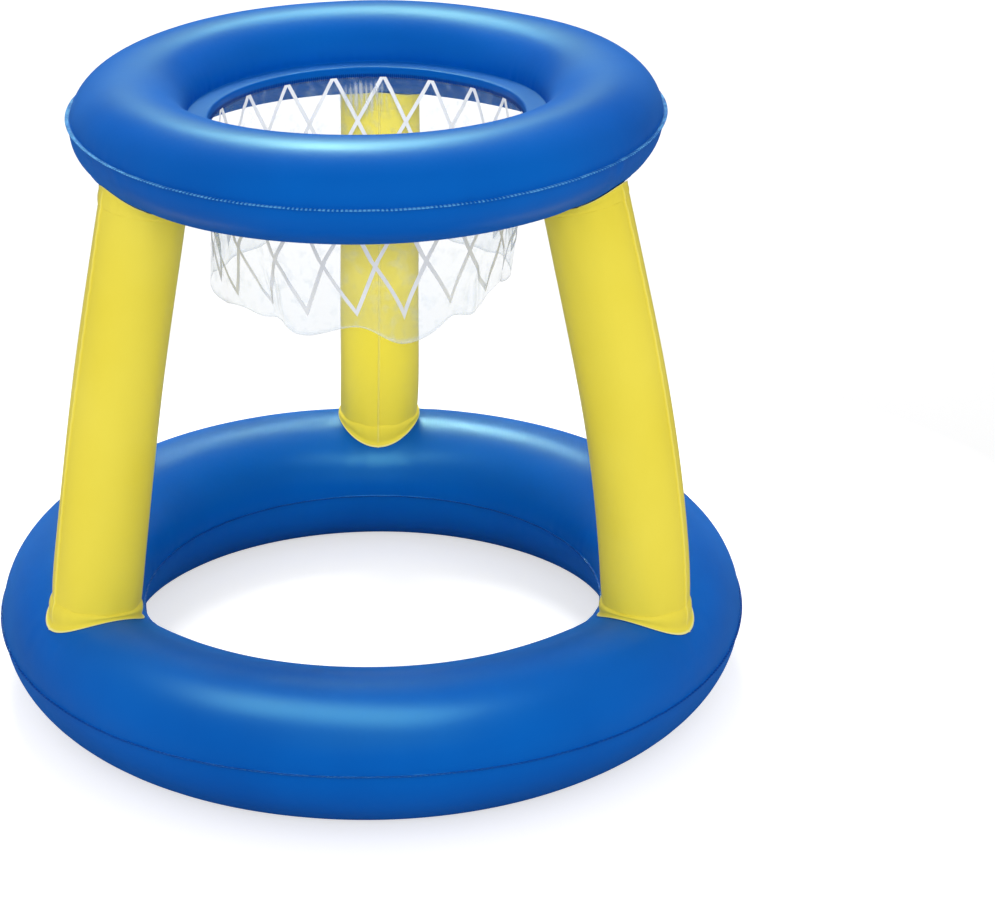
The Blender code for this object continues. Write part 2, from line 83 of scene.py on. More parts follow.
# %% [markdown]
# ## The camera
#
# The camera stands where the photographer stood: about two metres away and a metre up, looking down
# at 24 degrees with a long lens. Its place was worked out from the two rings' outlines, so the sizes
# on the object and the picture agree. A long lens keeps the two rings' ellipses almost parallel.

# %% Place the camera
CAMERA_PLACE = Vector((0.05901, -2.04288, 1.10572))
CAMERA_TARGET = Vector((0.0993, -0.15704, 0.25))
CAMERA_ROLL = 0.00753

camera_data = bpy.data.cameras.new("camera")
camera_data.sensor_width = 36.0
camera_data.lens = 99.363
camera = bpy.data.objects.new("camera", camera_data)
aim = (CAMERA_TARGET - CAMERA_PLACE).to_track_quat("-Z", "Y") @ Quaternion((0, 0, 1), CAMERA_ROLL)
camera.matrix_world = Matrix.Translation(CAMERA_PLACE) @ aim.to_matrix().to_4x4()
bpy.context.scene.collection.objects.link(camera)
bpy.context.scene.camera = camera
print("camera distance:", round((CAMERA_TARGET - CAMERA_PLACE).length, 3))

# %% [markdown]
# ## Helpers for finishes
#
# Each finish is a small node tree on the Principled shader. Two helpers keep the trees short: one
# adds a node and sets its values, the other makes a gentle noise in the object's own coordinates, so
# that a pattern stays on the vinyl when the camera moves.

# %% Add the finish helpers
def finish(name, colour, roughness, specular=0.5):
    """A new material and its Principled shader, with the values that are the same all over."""
    material = bpy.data.materials.new(name)
    material.use_nodes = True
    shader = material.node_tree.nodes["Principled BSDF"]
    shader.inputs["Base Color"].default_value = (*colour, 1)
    shader.inputs["Roughness"].default_value = roughness
    shader.inputs["Specular IOR Level"].default_value = specular
    return material, shader


def node(material, kind, links=(), **values):
    """A node with its inputs set: a value goes on the socket, and links join (socket, other output)."""
    made = material.node_tree.nodes.new(kind)
    for key, value in values.items():
        setattr(made, key, value)
    for socket, source in links:
        target = made.inputs[socket]
        if isinstance(source, bpy.types.NodeSocket):
            material.node_tree.links.new(source, target)
        else:
            target.default_value = source
    return made


def object_noise(material, scale, detail=2.0):
    """Noise between about 0.3 and 0.7 in object coordinates, with scale in cells per metre."""
    place = node(material, "ShaderNodeTexCoord")
    noise = node(
        material,
        "ShaderNodeTexNoise",
        [("Vector", place.outputs["Object"]), ("Scale", scale), ("Detail", detail)],
    )
    return noise.outputs["Fac"]


def blend_colours(material, share, colour_a, colour_b, low=0.3, high=0.7):
    """A colour that goes from colour_a to colour_b as share goes from low to high."""
    ramp = node(material, "ShaderNodeValToRGB", [("Fac", share)])
    ramp.color_ramp.elements[0].position = low
    ramp.color_ramp.elements[0].color = (*colour_a, 1)
    ramp.color_ramp.elements[1].position = high
    ramp.color_ramp.elements[1].color = (*colour_b, 1)
    return ramp.outputs["Color"]


def attribute(material, name):
    """A number that the mesh stores at each vertex."""
    return node(material, "ShaderNodeAttribute", attribute_name=name).outputs["Fac"]


def calculate(material, operation, first, second=0.0, clamp=False):
    """One step of arithmetic on two sockets or numbers."""
    step = node(material, "ShaderNodeMath", [(0, first), (1, second)], operation=operation, use_clamp=clamp)
    return step.outputs["Value"]


def join(material, output, socket):
    material.node_tree.links.new(output, socket)


# %% [markdown]
# ## Blue vinyl
#
# The rings are calendered vinyl film: deep blue all through, with a satin gloss that spreads a
# studio light into a soft band. The colour drifts a little from place to place, and the surface has
# a faint orange peel. Along the hoop's outer weld a roller has pressed a fine knurl, which the bump
# carries; the pale dots along that weld are a painted highlight. The base ring's welds look deeper,
# because the film is double there, and the lower half of the hoop's lip is darkened as painted shade.
# The mesh says which is where: its "weld" number is above 0 for the painted highlight and below 0 for
# the deeper welds and the painted shade.

# %% Make the blue vinyl
KNURLS_ROUND_HOOP = 460

blue_vinyl, shader = finish("blue_vinyl", (0, 0.1, 0.48), 0.34, 0.3)
shader.inputs["Specular Tint"].default_value = (0.2, 0.8, 0.5, 1)
drift = object_noise(blue_vinyl, 7.0, 3.0)
blue = blend_colours(blue_vinyl, drift, (0.0, 0.090, 0.445), (0.0, 0.112, 0.515))
shine = node(
    blue_vinyl,
    "ShaderNodeMapRange",
    [("Value", object_noise(blue_vinyl, 38.0, 3.0)), ("To Min", 0.31), ("To Max", 0.37)],
)
facing = node(blue_vinyl, "ShaderNodeLayerWeight", [("Blend", 0.5)]).outputs["Facing"]
grazing = node(
    blue_vinyl,
    "ShaderNodeMapRange",
    [("Value", facing), ("From Min", 0.5), ("From Max", 0.9), ("To Min", 0.0), ("To Max", 0.6)],
    interpolation_type="SMOOTHSTEP",
)
satin = calculate(blue_vinyl, "ADD", shine.outputs["Result"], grazing.outputs["Result"])
join(blue_vinyl, satin, shader.inputs["Roughness"])

uv = node(blue_vinyl, "ShaderNodeUVMap")
split = node(blue_vinyl, "ShaderNodeSeparateXYZ", [("Vector", uv.outputs["UV"])])
turns = calculate(blue_vinyl, "MULTIPLY", split.outputs["Y"], 2 * np.pi * KNURLS_ROUND_HOOP)
dots = calculate(blue_vinyl, "SINE", turns)
weld = attribute(blue_vinyl, "weld")
knurl = calculate(blue_vinyl, "MULTIPLY", dots, weld)
uneven = node(
    blue_vinyl,
    "ShaderNodeMapRange",
    [("Value", object_noise(blue_vinyl, 90.0, 2.0)), ("From Min", 0.35), ("From Max", 0.65)],
)
# The pale dots on the hoop's outer weld are a painted highlight: glints put into the colour.
painted_glint_dots = calculate(blue_vinyl, "ADD", calculate(blue_vinyl, "MULTIPLY", dots, 0.6), uneven.outputs["Result"])
pale = calculate(blue_vinyl, "MULTIPLY", painted_glint_dots, weld, clamp=True)
# Below 0, the welds turn a deeper blue: double film on the base ring, painted shade on the hoop's lip.
dark_weld_and_lip_shade = calculate(blue_vinyl, "MULTIPLY", weld, -1.0, clamp=True)
welded_blue = blue
for share, colour in ((pale, (0.10, 0.36, 0.72)), (dark_weld_and_lip_shade, (0.0, 0.045, 0.30))):
    tinted = node(blue_vinyl, "ShaderNodeMix", data_type="RGBA")
    join(blue_vinyl, share, tinted.inputs[0])
    join(blue_vinyl, welded_blue, tinted.inputs[6])
    tinted.inputs[7].default_value = (*colour, 1)
    welded_blue = tinted.outputs[2]
join(blue_vinyl, welded_blue, shader.inputs["Base Color"])
peel = calculate(blue_vinyl, "MULTIPLY", object_noise(blue_vinyl, 260.0, 2.0), 0.35)
height = calculate(blue_vinyl, "ADD", knurl, peel)
bump = node(blue_vinyl, "ShaderNodeBump", [("Height", height), ("Strength", 0.35), ("Distance", 0.0004)])
join(blue_vinyl, bump.outputs["Normal"], shader.inputs["Normal"])
print("made", blue_vinyl.name)

# %% [markdown]
# ## Yellow vinyl
#
# The legs are the same film in yellow, a little thinner and softer in shine. A touch of sheen pales
# the rim at the outline, and a paler yellow on the skirts' edges and along the side welds is a painted highlight.

# %% Make the yellow vinyl
yellow_vinyl, shader = finish("yellow_vinyl", (0.86, 0.72, 0.06), 0.42, 0.3)
drift = object_noise(yellow_vinyl, 9.0, 3.0)
yellow = blend_colours(yellow_vinyl, drift, (0.84, 0.70, 0.050), (0.88, 0.745, 0.072))
# A paler yellow where the mesh's edge number is high: a painted highlight on the skirts' edges and the side welds.
painted_edge_highlight_yellow = node(yellow_vinyl, "ShaderNodeMix", data_type="RGBA")
join(yellow_vinyl, attribute(yellow_vinyl, "edge"), painted_edge_highlight_yellow.inputs[0])
join(yellow_vinyl, yellow, painted_edge_highlight_yellow.inputs[6])
painted_edge_highlight_yellow.inputs[7].default_value = (0.92, 0.88, 0.36, 1)
join(yellow_vinyl, painted_edge_highlight_yellow.outputs[2], shader.inputs["Base Color"])
shader.inputs["Sheen Weight"].default_value = 0.12
shader.inputs["Sheen Roughness"].default_value = 0.35
shader.inputs["Sheen Tint"].default_value = (1.0, 0.98, 0.8, 1)
peel = node(
    yellow_vinyl,
    "ShaderNodeBump",
    [("Height", object_noise(yellow_vinyl, 240.0, 2.0)), ("Strength", 0.15), ("Distance", 0.0003)],
)
join(yellow_vinyl, peel.outputs["Normal"], shader.inputs["Normal"])
print("made", yellow_vinyl.name)

# %% [markdown]
# ## Clear film, its white print and the valves' plastic
#
# The net is a clear glossy film, a little milky and bluish, and its creases are painted whiter, as painted glints.
# A plain share of transparency gives that and exports well, while real refraction would need many light bounces
# for a film this thin. The print is white ink. The valves are a milky soft moulding.

# %% Make the film, the ink and the plastic
clear_film, shader = finish("clear_film", (0.50, 0.70, 0.88), 0.10, 0.8)
mottled = node(
    clear_film,
    "ShaderNodeMapRange",
    [("Value", object_noise(clear_film, 110.0, 3.0)), ("From Min", 0.5), ("From Max", 0.75), ("To Max", 0.25)],
)
# The crease number whitens the colour: painted glints on the film's bends, a paler hem band and a milkier lower
# part, with random mottling.
crease = calculate(clear_film, "ADD", attribute(clear_film, "crease"), mottled.outputs["Result"])
join(clear_film, blend_colours(clear_film, crease, (0.45, 0.68, 0.88), (0.88, 0.94, 1.0), 0.0, 0.8), shader.inputs["Base Color"])
film_alpha = node(clear_film, "ShaderNodeMapRange", [("Value", crease), ("To Min", 0.045), ("To Max", 0.45)])
join(clear_film, film_alpha.outputs["Result"], shader.inputs["Alpha"])
ripple = node(
    clear_film,
    "ShaderNodeBump",
    [("Height", object_noise(clear_film, 70.0, 3.0)), ("Strength", 0.8), ("Distance", 0.0015)],
)
join(clear_film, ripple.outputs["Normal"], shader.inputs["Normal"])

white_ink, shader = finish("white_ink", (0.86, 0.88, 0.90), 0.4)
ink_tone = blend_colours(white_ink, object_noise(white_ink, 60.0), (0.82, 0.84, 0.87), (0.90, 0.91, 0.92))
join(white_ink, ink_tone, shader.inputs["Base Color"])

valve_plastic, shader = finish("valve_plastic", (0.82, 0.84, 0.86), 0.3)
milk = blend_colours(valve_plastic, object_noise(valve_plastic, 120.0), (0.76, 0.79, 0.82), (0.86, 0.88, 0.89))
join(valve_plastic, milk, shader.inputs["Base Color"])
print("made", clear_film.name, white_ink.name, valve_plastic.name)

# %% [markdown]
# ## Putting a surface into a mesh
#
# Every piece below is a grid of points. This helper joins the grid with quads, closes it round where
# asked, and stores a UV map and the numbers that the finishes read.

# %% Add the surface helper
def add_surface(name, points, material, wrap_rows=False, wrap_columns=False, **numbers):
    """A mesh object from points (rows, columns, 3). numbers are (rows, columns) arrays for the finish."""
    rows, columns = points.shape[:2]
    number = np.arange(rows * columns).reshape(rows, columns)
    if wrap_rows:
        number = np.concatenate([number, number[:1]])
    if wrap_columns:
        number = np.concatenate([number, number[:, :1]], axis=1)
    quads = np.stack([number[:-1, :-1], number[:-1, 1:], number[1:, 1:], number[1:, :-1]], axis=-1)
    mesh = bpy.data.meshes.new(name)
    mesh.from_pydata(points.reshape(-1, 3), [], quads.reshape(-1, 4))
    mesh.shade_smooth()
    across, along = np.meshgrid(np.linspace(0, 1, number.shape[1]), np.linspace(0, 1, number.shape[0]))
    flat = np.stack([across, along], axis=-1)
    corners = np.stack([flat[:-1, :-1], flat[:-1, 1:], flat[1:, 1:], flat[1:, :-1]], axis=2)
    mesh.uv_layers.new(name="UVMap").data.foreach_set("uv", corners.astype(np.float32).ravel())
    for label, values in numbers.items():
        stored = mesh.attributes.new(label, "FLOAT", "POINT")
        stored.data.foreach_set("value", values.astype(np.float32).ravel())
    mesh.materials.append(material)
    piece = bpy.data.objects.new(name, mesh)
    bpy.context.scene.collection.objects.link(piece)
    print(name, "has", len(mesh.polygons), "quads")
    return piece


def waves(angle, parts):
    """A sum of waves round the object, each a (count, share, phase)."""
    return sum(share * np.sin(count * angle + phase) for count, share, phase in parts)


def turned(radius, height, azimuth):
    """Points from radius and height at an azimuth."""
    return np.stack([radius * np.cos(azimuth), radius * np.sin(azimuth), height + 0 * azimuth], axis=-1)


def hoop_tilted(points):
    """The hoop sits a little askew on its soft legs: z + tilt * x, but none where its valve is."""
    azimuth = np.arctan2(points[..., 1], points[..., 0])
    near_valve = np.exp(-(((azimuth - np.radians(60)) / np.radians(24)) ** 2))
    lift = HOOP_TILT * points[..., 0] * (1 - near_valve)
    return points + lift[..., None] * np.array([0, 0, 1])


# %% [markdown]
# ## The inflated rings
#
# Each ring is two flat film panels, welded along an outer and an inner seam and blown up, so its
# section is almost round, with a thin weld flange at both sides. A torus primitive would have
# neither seams nor the flat strip that it stands on, so the section is drawn as a closed outline and
# carried round the axis. Near the welds the film has too much length, and puckers a little.

# %% Draw a ring's section
def cosine_steps(start, stop, count):
    """Numbers from start to stop that lie closer together towards both ends."""
    return start + (stop - start) * (1 - np.cos(np.linspace(0, np.pi, count))) / 2


def ring_section(ring, outer_flange, inner_flange, lip_depth, flat_width):
    """The closed outline of a ring's section, from the outer weld over the top to the inner weld and
    back underneath. It gives radius, height, outward direction, wall angle and weld share.

    Wall: centre + (half width * cos a, half height * sin a), never thinner than the weld itself and
    never below the flat strip. Flange: the weld's two faces, with a rounded tip."""
    centre, half_width, half_height, seam = ring
    wall = cosine_steps(0, np.pi, 54)
    upper_z = np.hypot(half_height * np.sin(wall), SEAM_HALF_THICKNESS)
    flat_floor = -np.sqrt(half_height**2 - (flat_width / 2) ** 2) if flat_width else -half_height
    lower_z = np.maximum(-upper_z, flat_floor)
    steps = np.array([0.3, 0.65, 0.9, 1.0])
    tip_thin = np.array([1, 1, 0.75, 0.0])
    out_x = half_width + outer_flange * steps
    out_z = SEAM_HALF_THICKNESS * tip_thin
    if lip_depth:
        reach = inner_flange - 0.0016
        along = np.array([0.25, 0.5, 0.75, 1.0]) * reach
        turn = np.radians([22, 45, 68, 90])
        bend = SEAM_HALF_THICKNESS * 2 + 0.0004
        in_top = [(-half_width - a, SEAM_HALF_THICKNESS) for a in along]
        in_top += [(-half_width - reach - (bend + 0.0003) * np.sin(t), SEAM_HALF_THICKNESS - (bend + 0.0003) * (1 - np.cos(t))) for t in turn]
        edge_x = in_top[-1][0]
        down = np.linspace(in_top[-1][1], -lip_depth, 6)[1:]
        in_top += [(edge_x, z) for z in down]
        thick = SEAM_HALF_THICKNESS * 1.1
        in_bottom = [(edge_x + thick, z) for z in down[::-1]]
        in_bottom += [(edge_x + thick, -SEAM_HALF_THICKNESS * 2.2), (edge_x + thick * 2, -SEAM_HALF_THICKNESS)]
        in_bottom += [(-half_width - a, -SEAM_HALF_THICKNESS) for a in along[:2][::-1]]
    else:
        in_top = [(-half_width - inner_flange * s, SEAM_HALF_THICKNESS * t) for s, t in zip(steps, tip_thin)]
        in_bottom = [(x, -z) for x, z in in_top[:-1][::-1]]
    walls = [half_width * np.cos(wall), upper_z], [half_width * np.cos(wall[::-1]), lower_z[::-1]]
    inner = np.array(in_top + in_bottom)
    x = np.concatenate([walls[0][0], inner[:, 0], walls[1][0], out_x, out_x[:-1][::-1]])
    z = np.concatenate([walls[0][1], inner[:, 1], walls[1][1], -out_z, out_z[:-1][::-1]])
    angle = np.concatenate([wall, np.full(len(inner), np.pi), 2 * np.pi - wall[::-1], np.full(7, 2 * np.pi)])
    # On the hoop, the lower half of the lip is marked for a deeper blue, which is painted shade; on the base, the
    # inner weld is double film.
    double_film_and_lip_shade = inner[:, 1] < -lip_depth / 2 if lip_depth else np.ones(len(inner))
    weld = np.concatenate([0 * wall, double_film_and_lip_shade, 0 * wall, np.ones(7)])
    slope = np.stack([np.roll(z, -1) - np.roll(z, 1), np.roll(x, 1) - np.roll(x, -1)])
    slope = -slope / np.maximum(np.linalg.norm(slope, axis=0), 1e-9)
    return centre + x, seam + z, -slope, angle, weld


# %% Place the outer seams
def hoop_seam_roll(azimuth):
    """How far the hoop's outer seam sits above its middle, in radians: a round mean plus two waves."""
    degrees = 3.69 - 2.5 * np.cos(azimuth) - 0.62 * np.sin(azimuth) + 3.81 * np.cos(2 * azimuth)
    return np.radians(degrees)


def base_seam_roll(azimuth):
    """The same for the base ring, whose outer seam rides up between the two front legs."""
    return np.radians(2.4 + 2.2 * np.cos(3 * (azimuth + np.pi / 2)))


def roll_seam(r, z, ring, angle, roll):
    """Turns the outer side of a section about its middle by roll, fading with cos² of the wall angle."""
    share = np.maximum(np.cos(angle), 0) ** 2 * roll
    across, up = (r - ring[0]) / ring[1], (z - ring[3]) / ring[2]
    new_across = across * np.cos(share) - up * np.sin(share)
    new_up = across * np.sin(share) + up * np.cos(share)
    return ring[0] + new_across * ring[1], ring[3] + new_up * ring[2]


# %% Press the base ring under the legs
SADDLE_DEPTH = 0.0068
SADDLE_SPREAD = np.radians(13)
SADDLE_ANGLE = np.radians(118)
SADDLE_WIDTH = np.radians(36)


def saddle(ring, angle, azimuth):
    """How deep a leg presses the wall: depth * bell(wall angle) / (1 + (azimuth off the leg)²).

    Only the base ring gives way, on the upper part of its inner side."""
    if ring is not BASE_RING:
        return 0.0 * (angle + azimuth)
    off = [np.angle(np.exp(1j * (azimuth - np.radians(leg)))) / SADDLE_SPREAD for leg in LEG_ANGLES.values()]
    along = sum(1 / (1 + x**2) for x in off)
    return SADDLE_DEPTH * along * np.exp(-(((angle - SADDLE_ANGLE) / SADDLE_WIDTH) ** 2))


# %% Shape a ring
PUCKERS = ((61, 0.30, 0.4), (83, 0.30, 2.0), (37, 0.25, 4.1), (113, 0.15, 1.0))
WELD_WAVES = ((23, 0.35, 0.2), (41, 0.35, 1.7), (67, 0.3, 3.0))
LIMPNESS = ((3, 0.5, 0.5), (5, 0.3, 2.2), (8, 0.2, 1.1))


def ring_surface(name, ring, section, azimuth_steps, dents, seam_roll, weld_tone_and_painted_light):
    """A ring from its section.

    Each wall point moves along its outward direction by puckers that fade 10 degrees away from a
    weld, and by a slow unevenness of the film. The flange waves up and down by a few tenths.
    The last argument gives the outer and the inner weld's colour share: above 0 a painted highlight, below 0 a
    deeper blue, which is double film on the base ring and painted shade on the hoop's lip."""
    radius, height, outward, angle, weld = section
    azimuth = np.linspace(0, 2 * np.pi, azimuth_steps, endpoint=False)[:, None]
    from_weld = np.abs(np.sin(angle))[None, :]
    fade = np.exp(-from_weld / 0.16) * (1 - weld)
    phase = np.where(np.cos(angle) > 0, 0.0, 1.3)[None, :]
    push = -0.00035 * fade * (1 + waves(azimuth + phase, PUCKERS)) * np.minimum(from_weld / 0.03, 1)
    push = push + 0.00035 * waves(azimuth + 0.2 * np.sin(angle)[None, :], LIMPNESS) * from_weld
    push = push - saddle(ring, angle[None, :], azimuth)
    flange = 0.00022 * weld[None, :] * waves(azimuth + phase, WELD_WAVES)
    r = radius + push * outward[0]
    z = height + push * outward[1] + flange
    r, z = roll_seam(r, z, ring, angle[None, :], seam_roll(azimuth))
    points = turned(r, z, azimuth + 0 * r)
    points = points + dents(points, outward, azimuth)
    if ring is BASE_RING:
        points[..., 2] = np.maximum(points[..., 2], 0.0)
    else:
        points = hoop_tilted(points)
    # Above 0 the weld gets a painted highlight, below 0 a deeper blue: double film on the base, painted shade on
    # the hoop's lip.
    pale = weld * np.where(np.cos(angle) > 0, weld_tone_and_painted_light[0], weld_tone_and_painted_light[1])
    return add_surface(name, points, blue_vinyl, True, True, weld=np.broadcast_to(pale, r.shape))


# %% [markdown]
# ### Where the legs pull
#
# A leg's collar is welded on the ring's crest and pulls on the film around it. The film dips a
# little outside the collar and fades back, with a few short creases that point away from the leg.

# %% Dent the film round the legs
def collar_dents(ring, foot_radius, depth, reach):
    """A function that moves ring points inwards near each leg: depth * bell(distance) * creases."""

    def dents(points, outward, azimuth):
        total = np.zeros(points.shape[:2])
        crest = points[..., 2] - ring[3]
        side = crest > 0 if ring is BASE_RING else crest < 0
        for leg_azimuth in np.radians(list(LEG_ANGLES.values())):
            across = points[..., 0] - ring[0] * np.cos(leg_azimuth)
            along = points[..., 1] - ring[0] * np.sin(leg_azimuth)
            distance = (np.hypot(across, along) - foot_radius) / reach
            round_leg = np.arctan2(along, across)
            bell = np.where(distance > 0, distance * np.exp(1 - distance), 0.0)
            crease = 1 + 0.55 * np.sin(11 * round_leg + 1.0) + 0.35 * np.sin(17 * round_leg)
            total += np.where(side, bell * np.maximum(crease, 0), 0.0)
        push = -depth * np.minimum(total, 1.6)
        direction = turned(outward[0][None, :], outward[1][None, :], azimuth + 0 * push)
        return push[..., None] * direction

    return dents


# %% Build both rings
base_section = ring_section(BASE_RING, BASE_SEAM_WIDTH, BASE_SEAM_WIDTH, 0, BASE_CONTACT_WIDTH)
base_dents = collar_dents(BASE_RING, 0.0415, 0.0002, 0.006)
base_ring = ring_surface("base_ring_vinyl", BASE_RING, base_section, 640, base_dents, base_seam_roll, (-0.8, -0.8))
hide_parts("base_ring_upper_film", "base_ring_lower_film")

lip_reach = HOOP_CENTRE_RADIUS - HOOP_HALF_WIDTH - THROAT_RADIUS
hoop_section = ring_section(HOOP_RING, HOOP_SEAM_WIDTH, lip_reach, LIP_DEPTH, 0)
hoop_dents = collar_dents(HOOP_RING, 0.0395, 0.0005, 0.006)
# The hoop's outer weld gets a painted highlight, and the lower half of its lip a painted shade.
hoop_ring = ring_surface("hoop_ring_vinyl", HOOP_RING, hoop_section, 640, hoop_dents, hoop_seam_roll, (1.0, -1.0))
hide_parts("hoop_ring_upper_film", "hoop_ring_lower_film")

for ring in (base_ring, hoop_ring):
    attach(ring, "inflated_body")

# %% [markdown]
# ## The legs
#
# A leg is a bowed tube of two half-round panels, welded along its outer and inner side. At each end
# it closes to a level crease, and below that a full collar reaches down to the ring's curved wall,
# where its skirt is welded on. The tube's wall is a circle carried along a bowed middle line, and
# the collar's edge is found where each line of the wall meets the ring.

# %% Name the legs' sizes
LEG_FOOT = np.array([BASE_CENTRE_RADIUS + 0.0015, BASE_SEAM_HEIGHT + BASE_TUBE_RADIUS])
LEG_HEAD = np.array([HOOP_CENTRE_RADIUS + 0.0062, HOOP_SEAM_HEIGHT - HOOP_HALF_HEIGHT])
LEG_BOW_SHARE = np.array([0.13, 0.37])
LEG_HEIGHT = LEG_HEAD[1] - LEG_FOOT[1]
LEG_FOOT_RADIUS = 0.0355
LEG_HEAD_RADIUS = 0.0333
LEG_SEAM_WIDTH = 0.0013
LEG_FILM = 0.0004
LEG_SEAT = 0.0004
SKIRT_AT_SIDES = 0.0012
SKIRT_AT_WELDS = 0.0020
COLLAR_BULGE = 0.0005
COLLAR_NECK = 0.0035

# Soft legs never stand quite alike: how far the foot sits inwards, how far the middle line's bow
# leans inwards, how far the head sits to the side, and how much the head's inner side is flattened.
LEG_STANCE = {
    "rear": (0.0, 0.0, -0.0055, 0.0058),
    "left": (0.0026, 0.133, 0.0, 0.0),
    "right": (-0.0016, -0.065, 0.0, 0.0),
}


# %% Work out the leg's wall
def leg_centre(along, stance):
    """The middle line: a quadratic curve foot, bow, head that goes on straight past both ends."""
    inward, bow_in = stance[:2]
    foot = LEG_FOOT - np.array([inward, 0])
    bow = foot + (LEG_HEAD - foot) * (LEG_BOW_SHARE + np.array([bow_in, 0]))
    t = np.clip(along, 0, 1)[..., None]
    place = (1 - t) ** 2 * foot + 2 * t * (1 - t) * bow + t**2 * LEG_HEAD
    direction = (1 - t) * (bow - foot) + t * (LEG_HEAD - bow)
    direction = direction / np.linalg.norm(direction, axis=-1, keepdims=True)
    return place + (along[..., None] - t) * LEG_HEIGHT * direction, direction


def leg_points(along, angle, extra, stance):
    """A circle across the middle line, with extra added to its radius. angle 0 is the outer side.
    The inner side is flattened towards the head by the stance's last value."""
    place, direction = leg_centre(along, stance)
    radius = LEG_FOOT_RADIUS + (LEG_HEAD_RADIUS - LEG_FOOT_RADIUS) * np.clip(along, 0, 1) + extra
    radius = radius - stance[3] * np.maximum(-np.cos(angle), 0) ** 1.5 * np.clip(along * 2 - 1, 0, 1)
    outward = radius * np.cos(angle)
    x = place[..., 0] + outward * direction[..., 1]
    z = place[..., 1] - outward * direction[..., 0]
    return np.stack([x, radius * np.sin(angle) + stance[2] * along, z], axis=-1)


def meet_ring(ring, leg_azimuth, angle, extra, offset, stance):
    """How far along the leg each line of its wall comes within offset of a ring, by halving."""
    centre, half_width, half_height, seam = ring
    tilt = 0 if ring is BASE_RING else HOOP_TILT * centre * np.cos(leg_azimuth)
    depth = half_height / LEG_HEIGHT
    inside = np.full_like(angle, -depth if ring is BASE_RING else 1 + depth)
    outside = np.full_like(angle, 0.5)
    for _ in range(34):
        middle = (inside + outside) / 2
        p = leg_points(middle, angle, extra, stance)
        across, up = np.hypot(p[..., 0], p[..., 1]) - centre, p[..., 2] - seam - tilt
        wall_angle = np.arctan2(up / half_height, across / half_width)
        gap = offset - saddle(ring, wall_angle, leg_azimuth + np.arctan2(p[..., 1], p[..., 0]))
        clear = (across / (half_width + gap)) ** 2 + (up / (half_height + gap)) ** 2 > 1
        outside, inside = np.where(clear, middle, outside), np.where(clear, inside, middle)
    return outside


# %% Shape one leg
def seam_ridge(angle):
    """1 on the two side welds, falling to 0 within about two degrees."""
    off = np.abs(np.angle(np.exp(2j * angle))) / 2
    return 1 / (1 + (off / 0.021) ** 6)


def collar(ring, leg_azimuth, angle, stance):
    """Rows from the skirt's edge to the crease, as (along, extra, edge) arrays of one collar.

    The skirt lies on the ring, a little wider on the leg's outer and inner side, and turns up into a
    collar that swells slightly before the crease."""
    ridge = seam_ridge(angle)
    at_foot = ring is BASE_RING
    skirt = (SKIRT_AT_SIDES + SKIRT_AT_WELDS * np.cos(angle) ** 2) * (1.0 if at_foot else 0.35)
    rows = []
    for share, rise in ((1.0, 0.0), (0.75, 0.0), (0.45, 0.0002), (0.2, 0.0007), (0.05, 0.0015)):
        extra = COLLAR_BULGE + (skirt - COLLAR_BULGE) * share + 0.0003 * ridge
        reach = meet_ring(ring, leg_azimuth, angle, extra, LEG_SEAT + LEG_FILM + rise, stance)
        # The skirt's outer rows get 0.8 of painted highlight in the colour.
        rows.append((reach, extra, np.full_like(angle, 0.8 if share > 0.7 else 0.0)))
    foot = meet_ring(ring, leg_azimuth, angle, COLLAR_BULGE + 0 * angle, LEG_SEAT + LEG_FILM + 0.0024, stance)
    neck = COLLAR_NECK / LEG_HEIGHT
    crease = foot.max() + neck * 0.6 if at_foot else foot.min() - neck * 0.6
    pinch = -0.0009 if at_foot else -0.0002
    for up in np.linspace(0, 1, 20):
        bulge = COLLAR_BULGE * (1 - up) + (0.0008 if at_foot else 0.0003) * np.sin(np.pi * up) + pinch * up**3
        bulge = bulge + 0.00015 * np.sin(23 * angle) * up * (1 - up) * 4
        rows.append((foot + (crease - foot) * up, bulge + ridge * (0.0003 + (LEG_SEAM_WIDTH - 0.0003) * up), 0.25 * ridge))
    return rows


